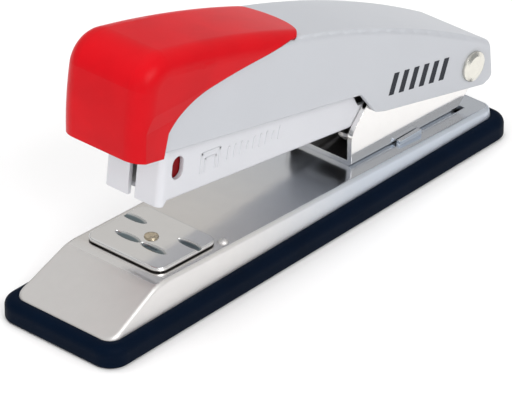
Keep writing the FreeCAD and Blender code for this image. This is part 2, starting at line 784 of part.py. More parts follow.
rail_half = channel_inner - d["staple_gap"]
rail_floor = floor_up + d["rail_wall"]
rail = keep(on_magazine("staple_rail"))
rail_rear = size(-5.0)
pad(rail, box(rail, "rail_side", "XZ", exit_rear, rail_rear, floor_up, d["rail_top"]), rail_half * 2)
cut(rail, box(rail, "rail_gap", "XZ", exit_rear + d["rail_wall"], rail_rear + 5, rail_floor, 20),
    (rail_half - d["rail_wall"]) * 2)
cut(rail, outline(rail, "rail_heel", "XZ", [(-16.0, 20), (-10.0, floor_up + 1.6),
                                            (5, floor_up + 1.6), (5, 20)]), 60)
rod_z = rail_floor + d["rod_radius"] + d["rod_lift"]
cut(rail, disc(rail, "rail_rod_hole", "YZ", 0, rod_z, d["rod_radius"], offset=exit_rear), 6)
for number, station in enumerate(rail_stations):
    cut(rail, disc(rail, "rail_rivet_hole_%d" % number, "XY", station, 0,
                   d["small_rivet_radius"], offset=rail_floor), 6)

stop_front = -d["rear_stop_front"]
stop_rear = stop_front + d["rear_stop_thick"]
rod_stop = keep(on_magazine("rear_stop"))
pad(rod_stop, box(rod_stop, "rear_stop_side", "XZ", stop_front, stop_rear, rail_floor,
                  d["rail_top"]), (rail_half - d["rail_wall"]) * 2)
cut(rod_stop, disc(rod_stop, "rear_stop_hole", "YZ", 0, rod_z, d["rod_radius"], offset=stop_front),
    20)

rod = keep(on_magazine("guide_rod"))
pad(rod, disc(rod, "rod_round", "YZ", 0, rod_z, d["rod_radius"], offset=exit_rear),
    stop_rear + 0.8 - exit_rear, both=False)
soften(rod, "rod_end", 0.3, lambda e: span(e, 0)[0] > stop_rear.value + 0.5)


shank = d["small_rivet_radius"]
wide = shank + 0.8


def rail_rivet(label, station):
    made = turned(label, [
        (0, below - 0.35), (wide, below - 0.35), (wide, below - 0.02), (shank, below - 0.02),
        (shank, rail_floor + 0.02), (wide, rail_floor + 0.02), (wide - 0.3, rail_floor + 0.45),
        (0, rail_floor + 0.5),
    ])
    x, z = tipped(station, 0, d["magazine_pitch"])
    place(made, x, 0, z, d["magazine_pitch"])
    return made


keep(group("rail_rivets", [
    rail_rivet("rail_rivet_front", rail_stations[0]),
    rail_rivet("rail_rivet_rear", rail_stations[1]),
]))

pusher = keep(on_magazine("pusher"))
push_front = exit_rear + 0.1
push_rear = push_front + d["pusher_length"]
push_top = d["rail_top"] + d["pusher_above_rail"]
gap = d["pusher_gap"]
pad(pusher, box(pusher, "pusher_side", "XZ", push_front, push_rear, floor_up + 0.3, push_top),
    (channel_inner - 0.2) * 2)
for number, side in enumerate((-1, 1)):
    low = side * (rail_half - d["rail_wall"] / 2) - (d["rail_wall"] / 2 + gap)
    cut(pusher, box(pusher, "pusher_groove_%d" % number, "YZ", low,
                    low + d["rail_wall"] + gap * 2, floor_up - 1, d["rail_top"] + gap,
                    offset=push_front), 60)
inner_half = rail_half - d["rail_wall"] - gap
cut(pusher, box(pusher, "pusher_under", "XZ", push_front - 5, push_rear + 5, floor_up - 2,
                rail_floor + 0.8), inner_half * 2 + 0.1)
cut(pusher, box(pusher, "pusher_toe", "XZ", push_front - 5, exit_rear + d["rail_wall"] + 0.3,
                floor_up - 2, d["rail_top"] + gap), inner_half * 2 + 0.1)
cut(pusher, disc(pusher, "pusher_rod_hole", "YZ", 0, rod_z, d["rod_radius"] + 0.1,
                 offset=push_front), 60)
soften(pusher, "pusher_top", 0.5, lambda e: span(e, 2)[0] > push_top.value - 0.01)

spring_start = push_rear + gap
spring_room = stop_front - gap - spring_start
pusher_spring = keep(coil("pusher_spring", d["spring_mean"], d["spring_wire"],
                          d["spring_pitch"], spring_room))
start_x, start_z = tipped(spring_start, rod_z, d["magazine_pitch"])
lean = d["magazine_pitch"] + 90
place(pusher_spring, start_x, 0, start_z, lean)

# ---------------------------------------------------------------- handle

bend_start = -(reach - d["handle_bend"])
handle_nose = -(reach + d["handle_front"])
tail_x = d["tail_x"]
tail_top = d["tail_top"]
ear_front = -d["ear_length"]


def handle_form(label, grow, front, lower_edge):
    """The handle's outside, grown by a clearance for the cavity of the cap."""
    made = on_handle(label)
    grow = size(grow)
    side = outline(made, label + "_side", "XZ", [
        (front, lower_edge), (ear_front - 9.2, lower_edge), (ear_front - 3.4, 0.45 - d["ear_drop"]),
        (ear_front, -d["ear_drop"]), (d["tail_back"] - 2.6, -d["tail_drop"]),
        (d["tail_back"], 1.4 - d["tail_drop"]), (tail_x, tail_top + grow),
        (bend_start, d["handle_top"] + grow),
        (front, d["handle_top"] + grow),
    ], {6: -(d["handle_radius"] + grow)})
    pad(made, side, (handle_half + grow) * 2)
    soften(made, label + "_shoulders", d["shoulder_round"],
           lambda e: abs(abs(middle_of(e).y) - handle_half.value - grow.value) < 0.01
           and middle_of(e).z > 8 and span(e, 0)[1] - span(e, 0)[0] > 8)
    return made


cover = keep(handle_form("handle_cover", 0, handle_nose, d["handle_edge"]))
soften(cover, "ear_corners", d["ear_corner_round"],
       lambda e: runs_along(e, 1) and middle_of(e).z < -1.0)
cover_gap = outline(cover, "cover_gap", "XZ", [
    (handle_nose - 5, -30), (20, -30), (20, tail_top - d["handle_wall"] - 4.2),
    (tail_x, tail_top - d["handle_wall"]), (bend_start, d["handle_top"] - d["handle_wall"]),
    (handle_nose - 5, d["handle_top"] - d["handle_wall"]),
], {3: -(d["handle_radius"] - d["handle_wall"])})
cut(cover, cover_gap, handle_inner * 2)
cut(cover, disc(cover, "cover_pin_holes", "XZ", 0, 0, pin_hole), 60)
leaf_stations = [bend_start - 3.5, bend_start + 1.5]
carrier_stations = [nose + 6.5]
top_stations = leaf_stations + carrier_stations
for number, station in enumerate(top_stations):
    cut(cover, disc(cover, "cover_rivet_hole_%d" % number, "XY", station, 0, shank,
                    offset=d["handle_top"]), 10)

cap_front = -(reach + d["cap_front_out"])
cap_rear = cap_front + d["cap_length"]
cap_top_rear = d["cap_top"] - d["cap_back_drop"]
cap_block = on_handle("cap_block")
cap_half = handle_half + d["cap_side_out"]
cap_side = outline(cap_block, "cap_side", "XZ", [
    (cap_front, 0.0), (cap_rear, 0.0), (cap_rear, cap_top_rear),
    (cap_front + 5.87, d["cap_top"]),
    (cap_front - d["cap_nose_lean"], d["cap_top"] - d["cap_nose_drop"]),
], {2: -d["cap_radius"], 3: -d["cap_nose_round"], 4: -d["cap_front_bulge"]})
pad(cap_block, cap_side, cap_half * 2)
soften(cap_block, "cap_rounds", d["cap_round"],
       lambda e: abs(abs(middle_of(e).y) - cap_half.value) < 0.01 and middle_of(e).z > 1.0
       and not (runs_along(e, 2) and middle_of(e).x > cap_rear.value - 1.0))
side_rim = outline(cap_block, "cap_side_rim", "XZ", [
    (-(reach + 4.1), -5), (-(reach + 3.4), 5.5), (-(reach - 7.5), 13.4), (-(reach - 33.0), 18.4),
    (-(reach - 47.5), 15.5), (-(reach - 47.5), -5),
], {1: 18.7, 2: 161.0})
cut(cap_block, side_rim, 60)
tip_x = -(reach - d["cap_tip_back"])
tip_radius = d["cap_tip_radius"]
tip = outline(cap_block, "cap_tip", "XY", [
    (tip_x, -tip_radius), (tip_x, -25), (tip_x + 30, -25), (tip_x + 30, 25), (tip_x, 25),
    (tip_x, tip_radius), (tip_x + tip_radius, 0)],
    {5: tip_radius, 6: tip_radius})
cut(cap_block, tip, 80)
inner_top = d["cap_top"] - d["cap_wall"]
cap_gap = outline(cap_block, "cap_gap", "XZ", [
    (cap_front + 1.4, -5), (-(reach - 30), -5), (-(reach - 30), inner_top - 2.6),
    (-(reach + 7.0), inner_top), (cap_front + 1.2, inner_top - 4.0),
], {2: -(d["cap_radius"] - d["cap_wall"])})
cut(cap_block, cap_gap, (handle_half + 0.15 - 1.2) * 2)
envelope = handle_form("cap_room", 0.12, handle_nose - 0.5, -6.0)


def cap_relief(label, side):
    """The shallow fall-away under the cap's side line: slanted first, then straight down."""
    start_x, start_z = tipped(cap_front - 0.7, 9.7, d["handle_pitch"])
    made = body(label, start_x, 0, start_z, d["handle_pitch"] - d["relief_slope"])
    wall = cap_half * side
    inner = (cap_half - d["relief_depth"]) * side
    outer = (cap_half + 3.0) * side
    drawing = outline(made, label + "_section", "YZ", [
        (wall, 0), (inner, -3.4), (inner, -16.0), (outer, -16.0), (outer, 0)])
    pad(made, drawing, d["relief_length"], both=False)
    return made


cap_room = doc.addObject("Part::MultiFuse", "cap_room_and_relief")
cap_room.Shapes = [envelope, cap_relief("cap_relief_near", -1), cap_relief("cap_relief_far", 1)]
cap = keep(subtract("front_cap", cap_block, cap_room))

blade = keep(on_handle("driver_blade"))
swing = d["handle_pitch"] - d["magazine_pitch"]
blade_out = reach - d["channel_wall"] - 0.2
blade_in = blade_out - d["blade_thick"]
blade_low = size(2.5) + -(reach * sine(swing))
blade_high = d["handle_top"] - d["handle_wall"] - 1.2


def on_arc(radius, height):
    """x of the point at this height on a circle about the pin, on the staple side."""
    value = -math.sqrt(radius.value ** 2 - height.value ** 2)
    return Size(value, "(0 - sqrt(%s * %s - %s * %s))" % (radius.text, radius.text,
                                                        height.text, height.text))


pad(blade, outline(blade, "blade_side", "XZ", [
    (on_arc(blade_in, blade_low), blade_low), (on_arc(blade_in, blade_high), blade_high),
    (on_arc(blade_out, blade_high), blade_high), (on_arc(blade_out, blade_low), blade_low),
], {0: blade_in, 2: -blade_out}), (channel_inner - d["blade_side_gap"]) * 2)

carrier = keep(on_handle("blade_carrier"))
carrier_top = d["handle_top"] - d["handle_wall"]
carrier_low = size(9.5)
pad(carrier, outline(carrier, "carrier_side", "XZ", [
    (on_arc(blade_in, carrier_low) + 0.02, carrier_low),
    (nose + 4.2, carrier_low), (nose + 4.2, carrier_top - 1.2),
    (nose + 9.0, carrier_top - 1.2), (nose + 9.0, carrier_top - 0.02),
    (nose + 0.6, carrier_top - 0.02), (nose + 0.6, carrier_top - 1.1),
    (on_arc(blade_in, blade_high) + 0.02, carrier_top - 1.1),
], {7: -blade_in}), d["carrier_width"])
for number, station in enumerate(carrier_stations):
    cut(carrier, disc(carrier, "carrier_rivet_hole_%d" % number, "XY", station, 0, shank,
                      offset=carrier_top), 12)

hold_x_mag = size(-45.0)
wall_slope = (d["channel_above"] - 7.0) / (nose + 27.5 + 41.0)
hold_z_mag = 7.0 + wall_slope * (hold_x_mag + 41.0)
hold_h_x = hold_x_mag * cosine(swing) - hold_z_mag * sine(swing)
hold_h_z = hold_x_mag * sine(swing) + hold_z_mag * cosine(swing)
press = keep(on_handle("handle_leaf"))
leaf_top = d["handle_top"] - d["handle_wall"] - 0.06
pad(press, outline(press, "press_side", "XZ", [
    (bend_start - 6.2, leaf_top), (bend_start - 6.2, leaf_top - d["leaf_thick"]),
    (bend_start + 4.0, leaf_top - d["leaf_thick"]), (hold_h_x - 2.5, hold_h_z + 0.95),
    (hold_h_x, hold_h_z + 0.12), (hold_h_x + 3.0, hold_h_z + 0.85), (hold_h_x + 3.0, hold_h_z + 1.45),
    (hold_h_x, hold_h_z + 0.72), (hold_h_x - 2.2, hold_h_z + 1.5), (bend_start + 4.3, leaf_top),
]), d["leaf_width"])
for number, station in enumerate(leaf_stations):
    cut(press, disc(press, "press_rivet_hole_%d" % number, "XY", station, 0, shank,
                    offset=carrier_top), 12)


def top_rivet(label, station, grip):
    top = d["handle_top"]
    made = turned(label, [
        (0, carrier_top - grip - 0.5), (wide - 0.2, carrier_top - grip - 0.4),
        (wide, carrier_top - grip - 0.02), (shank, carrier_top - grip - 0.02),
        (shank, top + 0.02), (wide, top + 0.02), (wide - 0.2, top + 0.35), (0, top + 0.42),
    ])
    x, z = tipped(station, 0, d["handle_pitch"])
    place(made, x, 0, z, d["handle_pitch"])
    return made


keep(group("leaf_rivets", [
    top_rivet("leaf_rivet_front", leaf_stations[0], d["leaf_thick"] + 0.06),
    top_rivet("leaf_rivet_rear", leaf_stations[1], d["leaf_thick"] + 0.06),
]))
keep(group("carrier_rivet", [top_rivet("carrier_rivet_1", carrier_stations[0], 1.2)]))

# ---------------------------------------------------------------- checks and export

doc.recompute()
for thing in doc.Objects:
    if "Invalid" in thing.State or "Error" in thing.State:
        raise RuntimeError("object %s is in state %s" % (thing.Label, thing.State))
os.makedirs("parts", exist_ok=True)
for node in nodes:
    shape = node.Shape
    if shape.isNull() or not shape.isValid() or not shape.Solids:
        raise RuntimeError("node %s has no valid solid" % node.Label)
    shape.exportStep("parts/%s.step" % node.Label)
    print("%-18s solids %d volume %9.2f box %s" % (
        node.Label, len(shape.Solids), shape.Volume,
        " ".join("%.2f" % v for v in (shape.BoundBox.XMin, shape.BoundBox.XMax,
                                      shape.BoundBox.YMin, shape.BoundBox.YMax,
                                      shape.BoundBox.ZMin, shape.BoundBox.ZMax))))
print("nodes", len(nodes))
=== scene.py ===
import json
import math

import bmesh
import bpy
from mathutils import Matrix, Vector


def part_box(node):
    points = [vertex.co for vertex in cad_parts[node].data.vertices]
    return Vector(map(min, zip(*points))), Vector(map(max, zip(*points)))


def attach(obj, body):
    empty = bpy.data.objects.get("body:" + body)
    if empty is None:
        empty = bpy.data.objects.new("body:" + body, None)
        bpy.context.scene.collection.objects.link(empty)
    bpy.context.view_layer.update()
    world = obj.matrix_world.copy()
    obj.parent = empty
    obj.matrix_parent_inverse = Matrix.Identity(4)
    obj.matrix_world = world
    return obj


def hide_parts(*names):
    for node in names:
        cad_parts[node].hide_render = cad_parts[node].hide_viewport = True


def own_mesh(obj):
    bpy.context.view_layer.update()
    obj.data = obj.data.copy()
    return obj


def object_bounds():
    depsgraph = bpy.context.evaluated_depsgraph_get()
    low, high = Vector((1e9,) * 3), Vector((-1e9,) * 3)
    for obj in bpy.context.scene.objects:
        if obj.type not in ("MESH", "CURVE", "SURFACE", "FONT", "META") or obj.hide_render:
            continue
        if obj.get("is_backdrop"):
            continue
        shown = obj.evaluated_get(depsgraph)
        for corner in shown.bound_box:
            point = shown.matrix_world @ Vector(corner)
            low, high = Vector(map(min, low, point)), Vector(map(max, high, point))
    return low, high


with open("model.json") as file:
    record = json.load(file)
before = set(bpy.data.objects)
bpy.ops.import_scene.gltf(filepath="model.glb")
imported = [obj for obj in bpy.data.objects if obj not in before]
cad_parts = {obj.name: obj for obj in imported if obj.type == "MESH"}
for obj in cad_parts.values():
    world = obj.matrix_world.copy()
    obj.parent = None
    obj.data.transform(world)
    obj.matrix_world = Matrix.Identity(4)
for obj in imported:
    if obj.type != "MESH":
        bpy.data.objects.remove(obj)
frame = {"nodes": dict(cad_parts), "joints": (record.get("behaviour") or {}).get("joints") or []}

bl_info = {
    "name": "Desktop Stapler",
    "version": (1, 0, 0),
    "blender": (4, 5, 0),
    "location": "View3D > Sidebar > Stapler",
    "description": "Finishes, springs, relief and studio for a desktop stapler",
    "category": "Object",
}

CAD_LOW, CAD_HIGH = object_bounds()
NODES = frame["nodes"]
JOINTS = {joint["name"]: joint for joint in frame["joints"]}
MM = 0.001


# ---------------------------------------------------------------- measures from the frame

def pin_centre():
    low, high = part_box("pivot_pin")
    return (low + high) / 2


PIN = pin_centre()


def magazine_pitch():
    """Tilt of the magazine at rest, from the way its pusher slides."""
    axis = JOINTS["pusher_slide"]["axis"]
    return math.atan2(-axis[2], axis[0])


def from_pin(pitch):
    """Takes points drawn level about the hinge pin, in millimetres, to where they stand at rest."""
    return Matrix.Translation(PIN) @ Matrix.Rotation(pitch, 4, "Y") @ Matrix.Scale(MM, 4)


# ---------------------------------------------------------------- shader maths

class Wire:
    """One shader socket that can be used in Python sums."""

    def __init__(self, finish, socket):
        self.finish = finish
        self.socket = socket

    def sum(self, operation, *others):
        values = {0: self}
        for number, other in enumerate(others, start=1):
            values[number] = other
        return self.finish.node("ShaderNodeMath", {"operation": operation}, values)

    def __add__(self, other):
        return self.sum("ADD", other)

    def __radd__(self, other):
        return self.sum("ADD", other)

    def __sub__(self, other):
        return self.sum("SUBTRACT", other)

    def __rsub__(self, other):
        return self.finish.node("ShaderNodeMath", {"operation": "SUBTRACT"}, {0: other, 1: self})

    def __mul__(self, other):
        return self.sum("MULTIPLY", other)

    def __rmul__(self, other):
        return self.sum("MULTIPLY", other)


class Finish:
    """The shader nodes of one of the stapler's surfaces, measured in millimetres on the piece."""

    def __init__(self, owner):
        """owner is the material or the world whose nodes are made."""
        self.owner = owner
        owner.use_nodes = True
        self.tree = owner.node_tree
        self.tree.nodes.clear()
        self.place = None

    def node(self, kind, settings=None, values=None, output=0):
        """Adds any node: its settings are set first, then the values or links of its sockets."""
        made = self.tree.nodes.new(kind)
        for key, value in (settings or {}).items():
            if key == "stops":
                self.set_stops(made.color_ramp, value)
            else:
                setattr(made, key, value)
        for key, value in (values or {}).items():
            socket = made.inputs[key]
            if isinstance(value, Wire):
                self.tree.links.new(value.socket, socket)
            else:
                socket.default_value = value
        return Wire(self, made.outputs[output]) if made.outputs else None

    @staticmethod
    def set_stops(ramp, stops):
        while len(ramp.elements) < len(stops):
            ramp.elements.new(0.5)
        for element, (position, colour) in zip(ramp.elements, stops):
            element.position = position
            element.color = colour

    def millimetres(self):
        if self.place is None:
            whole = self.node("ShaderNodeTexCoord", output="Object")
            self.place = self.node("ShaderNodeVectorMath", {"operation": "SCALE"},
                                   {"Vector": whole, "Scale": 1.0 / MM})
        return self.place

    def stretched(self, x, y, z):
        """The piece's coordinates, scaled apart along X, Y and Z for grain with a direction."""
        return self.node("ShaderNodeVectorMath", {"operation": "MULTIPLY"},
                         {0: self.millimetres(), 1: (x, y, z)})

    def along(self, axis, vector=None):
        """One coordinate of a vector, by default of the place on the piece."""
        return self.node("ShaderNodeSeparateXYZ", None, {0: vector or self.millimetres()}, axis)

    def level(self):
        """One where the surface faces straight up, nought where it stands upright."""
        facing = self.node("ShaderNodeNewGeometry", output="True Normal")
        return self.along("Z", facing)

    def wipe_marks(self):
        """Hairlines along the piece, as a polishing wheel leaves them."""
        lines = self.noise(1.0, 2.0, 0.5, self.stretched(*WIPE_STRETCH))
        return self.between(lines, 0.62, 0.70)

    def noise(self, per_mm, detail=2.0, roughness=0.5, where=None):
        return self.node("ShaderNodeTexNoise", {"noise_dimensions": "3D"}, {
            "Vector": where or self.millimetres(), "Scale": per_mm, "Detail": detail,
            "Roughness": roughness}, "Fac")

    def specks(self, per_mm, size):
        """Small round spots: one where a cell's centre is nearer than size, nought elsewhere."""
        near = self.node("ShaderNodeTexVoronoi", {"feature": "F1"}, {
            "Vector": self.millimetres(), "Scale": per_mm}, "Distance")
        return near.sum("LESS_THAN", size)

    def between(self, value, low, high):
        """Nought below low, one above high, smooth between."""
        return self.node("ShaderNodeMapRange", {"interpolation_type": "SMOOTHSTEP"}, {
            "Value": value, "From Min": low, "From Max": high, "To Min": 0.0, "To Max": 1.0})

    def tint(self, factor, first, second):
        return self.node("ShaderNodeMix", {"data_type": "RGBA"}, {0: factor, 6: first, 7: second},
                         2)

    def rounded_edges(self, radius_mm):
        return self.node("ShaderNodeBevel", {"samples": 4}, {"Radius": radius_mm * MM})

    def edge_wear_and_highlight(self, radius_mm):
        """One along the piece's sharp edges, nought on its flats."""
        soft = self.rounded_edges(radius_mm)
        hard = self.node("ShaderNodeNewGeometry", output="Normal")
        same = self.node("ShaderNodeVectorMath", {"operation": "DOT_PRODUCT"},
                         {0: soft, 1: hard}, "Value")
        return self.between(1.0 - same, 0.01, 0.12)

    def bump(self, height, depth_mm, normal=None, strength=1.0):
        values = {"Height": height, "Distance": depth_mm * MM, "Strength": strength}
        if normal is not None:
            values["Normal"] = normal
        return self.node("ShaderNodeBump", None, values)

    def surface(self, **values):
        """The closing shader; names are the sockets', with underscores for spaces."""
        sockets = {key.replace("_", " "): value for key, value in values.items()}
        shader = self.node("ShaderNodeBsdfPrincipled", None, sockets)
        self.node("ShaderNodeOutputMaterial", None, {"Surface": shader})
        return self.owner


def finish(name):
    return Finish(bpy.data.materials.new(name))


def rgba(colour):
    return (colour[0], colour[1], colour[2], 1.0)


def scaled(colour, share):
    return (colour[0] * share, colour[1] * share, colour[2] * share, 1.0)


# ---------------------------------------------------------------- finishes

# The anvil's top leans back with the deck under it.
ANVIL_FALL = math.radians(2.43)
# How far below the anvil's top its grooves take painted shade and its lower rim a painted shadow,
# in millimetres.
GROOVE_DEPTHS = (0.04, 0.50)
RIM_DEPTHS = (0.62, 0.80)
PAINTED_GROOVE_SHADE = (0.16, 0.20, 0.215)
PAINTED_RIM_SHADOW = (0.20, 0.19, 0.185)
# Blue of the painted reflection tinted into the base's plating.
PAINTED_BLUE_REFLECTION = (0.66, 0.71, 0.78)
# Where the plating turns from the bright top to the drawn flanks, by how level it is.
DRAWN_DOWN = (0.955, 0.99)
SWEEP_PER_MM = 0.055
WIPE_STRETCH = (0.12, 5.5, 5.5)
ZINC = (0.55, 0.55, 0.54)
CARRIER_ZINC = (0.5, 0.5, 0.49)
RIVET_ZINC = (0.6, 0.6, 0.58)
DUST = (0.05, 0.06, 0.07)
BARE_PAINT = (0.30, 0.31, 0.33)


def boot_rubber(colour):
    """Moulded rubber: fine matt grain, a few scuffs and a little dust."""
    f = finish("boot_rubber")
    grain = f.noise(7.0, 3.0, 0.6)
    cloud = f.noise(0.12, 3.0)
    dust = f.specks(0.55, 0.045) * f.between(cloud, 0.45, 0.62)
    tone = f.tint(cloud, rgba(colour), scaled(colour, 1.6))
    tone = f.tint(dust * 0.25, tone, rgba(DUST))
    scuff = f.between(f.noise(1.0, 4.0, 0.6, f.stretched(0.08, 1.0, 1.0)), 0.60, 0.72)
    rough = 0.50 + 0.10 * grain + 0.10 * scuff
    rounded = f.rounded_edges(0.25)
    normal = f.bump(grain, 0.035, rounded)
    return f.surface(Base_Color=tone, Roughness=rough, Normal=normal, IOR=1.48,
                     Specular_IOR_Level=0.05)


def polished_nickel(name, colour, rough, waves=0.01, scratches=0.5, flanks=0.0, blue_reflection_span=None):
    """Plated sheet: bright, very slightly uneven, with hairline wipe marks. flanks is how much
    rougher it is where it was drawn down, away from the flat top. The last argument is the two
    places along the base, in millimetres, between which a painted bluish reflection is tinted in."""
    f = finish(name)
    sweep = f.noise(SWEEP_PER_MM, 2.0)
    hair = f.wipe_marks()
    cloud = f.noise(0.35, 4.0, 0.6)
    tone = f.tint(cloud, rgba(colour), scaled(colour, 0.95))
    if blue_reflection_span:
        # Painted reflection: the plating is tinted bluer towards the rear of the base, standing in
        # for a bluish reflection.
        tone = f.tint(f.between(f.along("X") + 6.0 * cloud, *blue_reflection_span), tone, rgba(PAINTED_BLUE_REFLECTION))
    roughness = rough + 0.05 * cloud + 0.10 * scratches * hair
    if flanks:
        roughness = roughness + flanks * (1.0 - f.between(f.level(), *DRAWN_DOWN))
    edge = f.rounded_edges(0.22)
    normal = f.bump(sweep + 0.02 * scratches * hair, waves * 10.0, edge)
    return f.surface(Base_Color=tone, Metallic=1.0, Roughness=roughness, Normal=normal)


def struck_chrome(colour, rough):
    """The anvil's bright plate, with painted shade in the grooves struck below its top and a
    painted shadow along its lower rim.
    """
    f = finish("anvil_chrome")
    low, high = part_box("anvil_plate")
    slope = math.tan(ANVIL_FALL)
    top = high.z / MM - slope * (high.x - low.x) / 2 / MM
    centre = (high.x + low.x) / 2 / MM
    below = top - (f.along("Z") + slope * (f.along("X") - centre))
    sunk = f.between(below, *GROOVE_DEPTHS)
    edge = f.between(f.level(), 0.25, 0.75)
    cloud = f.noise(0.35, 4.0, 0.6)
    tone = f.tint(cloud, rgba(colour), scaled(colour, 0.95))
    # Painted shade on the groove floors, then a painted shadow along the plate's lower rim where it
    # sits on the deck.
    tone = f.tint(sunk * edge, tone, rgba(PAINTED_GROOVE_SHADE))
    tone = f.tint(f.between(below, *RIM_DEPTHS), tone, rgba(PAINTED_RIM_SHADOW))
    hair = f.wipe_marks()
    roughness = rough + 0.05 * cloud + 0.05 * hair + 0.28 * (1.0 - edge)
    normal = f.bump(f.noise(SWEEP_PER_MM, 2.0) + 0.01 * hair, 0.06, f.rounded_edges(0.22))
    return f.surface(Base_Color=tone, Metallic=1.0, Roughness=roughness, Normal=normal)


def silver_paint(name, colour, metal, rough):
    """Baked silver lacquer: fine flake, faint orange peel, and edges painted brighter as rubbed
    wear and a painted highlight.
    """
    f = finish(name)
    flake = f.noise(9.0, 2.0, 0.7)
    peel = f.noise(1.3, 2.0)
    cloud = f.noise(0.05, 2.0)
    wear_and_highlight = f.edge_wear_and_highlight(0.18)
    tone = f.tint(flake, scaled(colour, 0.955), scaled(colour, 1.04))
    tone = f.tint(f.between(cloud, 0.3, 0.7) * 0.35, tone, scaled(colour, 0.95))
    # Painted highlight, partly rubbed wear: the lacquer is painted lighter along the sharp edges.
    tone = f.tint(wear_and_highlight * 0.3, tone, scaled(colour, 1.18))
    roughness = rough + 0.08 * flake - 0.06 * wear_and_highlight
    edge = f.rounded_edges(0.2)
    normal = f.bump(peel + 0.25 * flake, 0.012, edge)
    return f.surface(Base_Color=tone, Metallic=metal, Roughness=roughness, Normal=normal,
                     Specular_IOR_Level=0.35)


def cap_plastic(name, colour, rough=0.30):
    """Moulded gloss plastic with a faint satin texture and slight colour depth."""
    f = finish(name)
    grain = f.noise(4.5, 3.0, 0.6)
    cloud = f.noise(0.09, 2.0)
    flow = f.noise(0.5, 2.0, 0.5, f.stretched(0.15, 0.6, 0.6))
    tone = f.tint(f.between(cloud, 0.3, 0.7), rgba(colour), scaled(colour, 0.90))
    tone = f.tint(f.between(flow, 0.55, 0.8) * 0.3, tone, scaled(colour, 1.08))
    roughness = rough + 0.06 * grain
    edge = f.rounded_edges(0.3)
    normal = f.bump(grain, 0.010, edge)
    return f.surface(Base_Color=tone, Roughness=roughness, Normal=normal, IOR=1.50,
                     Specular_IOR_Level=0.10)


def spring_steel(name, colour, rough=0.28):
    """Bare blued or bright spring steel with drawn lines along it."""
    f = finish(name)
    drawn = f.noise(1.0, 3.0, 0.6, f.stretched(0.4, 6.0, 6.0))
    cloud = f.noise(0.4, 3.0)
    tone = f.tint(cloud, rgba(colour), scaled(colour, 0.78))
    roughness = rough + 0.14 * drawn
    normal = f.bump(drawn, 0.006, f.rounded_edges(0.12))
    return f.surface(Base_Color=tone, Metallic=1.0, Roughness=roughness, Normal=normal)


def turned_metal(name, colour, rough=0.2):
    """Small turned or headed parts: rivets and the hinge pin, with a slight yellow warmth."""
    f = finish(name)
    cloud = f.noise(0.9, 3.0)
    pits = f.specks(2.2, 0.10)
    tone = f.tint(cloud, rgba(colour), scaled(colour, 0.86))
    tone = f.tint(pits * 0.4, tone, scaled(colour, 0.5))
    roughness = rough + 0.10 * cloud + 0.1 * pits
    normal = f.bump(cloud - 0.4 * pits, 0.03, f.rounded_edges(0.2))
    return f.surface(Base_Color=tone, Metallic=1.0, Roughness=roughness, Normal=normal)


def printed_ink(colour):
    """Pad-printed ink: flat dark tone with a few worn pinholes."""
    f = finish("printed_ink")
    cloud = f.noise(0.6, 3.0)
    pinholes = f.specks(2.6, 0.07)
    tone = f.tint(cloud, rgba(colour), scaled(colour, 1.5))
    tone = f.tint(pinholes * 0.5, tone, rgba(BARE_PAINT))
    return f.surface(Base_Color=tone, Roughness=0.38 + 0.1 * cloud,
                     Normal=f.bump(cloud, 0.004), Specular_IOR_Level=0.25)


def give(material, *names):
    """Lays one finish on the named CAD pieces."""
    for name in names:
        slots = NODES[name].material_slots
        if not slots:
            NODES[name].data.materials.append(material)
        for entry in slots:
            entry.material = material


# ---------------------------------------------------------------- mesh makers

def new_piece(name, build, place, material, smooth=True):
    """Makes a mesh object from a bmesh maker that draws in millimetres."""
    raw = bmesh.new()
    build(raw)
    bmesh.ops.recalc_face_normals(raw, faces=raw.faces)
    raw.transform(place)
    mesh = bpy.data.meshes.new(name)
    raw.to_mesh(mesh)
    raw.free()
    for face in mesh.polygons:
        face.use_smooth = smooth
    piece = bpy.data.objects.new(name, mesh)
    bpy.context.scene.collection.objects.link(piece)
    mesh.materials.append(material)
    return piece


def raised_plate(raw, outline, y_in, y_out, crown=0.0):
    """A thin closed plate on a side wall. outline is (x, z) pairs; it grows from y_in to y_out,
    and its outer face is drawn in by crown so the rim is bevelled."""
    count = len(outline)
    middle_x = sum(p[0] for p in outline) / count
    middle_z = sum(p[1] for p in outline) / count
    rings = []
    for y, inset in ((y_in, 0.0), (y_in + (y_out - y_in) * 0.5, 0.0), (y_out, crown)):
        ring = []
        for x, z in outline:
            away = math.hypot(x - middle_x, z - middle_z) or 1.0
            share = 1.0 - inset / away
            ring.append(raw.verts.new((middle_x + (x - middle_x) * share, y,
                                       middle_z + (z - middle_z) * share)))
        rings.append(ring)
    for low, high in zip(rings, rings[1:]):
        for i in range(count):
            after = (i + 1) % count
            raw.faces.new((low[i], low[after], high[after], high[i]))
    raw.faces.new(list(reversed(rings[0])))
    raw.faces.new(rings[-1])


def rounded_bar(x0, z0, x1, z1, half, steps=5):
    """Outline of a straight bar with round ends, as (x, z) pairs."""
    along = Vector((x1 - x0, z1 - z0)).normalized()
    side = Vector((-along.y, along.x))
    points = []
    for centre, turn in ((Vector((x1, z1)), 1.0), (Vector((x0, z0)), -1.0)):
        for i in range(steps + 1):
            angle = -math.pi / 2 + math.pi * i / steps
            step = along * math.cos(angle) * turn + side * math.sin(angle) * turn
            spot = centre + step * half
            points.append((spot.x, spot.y))
    return points


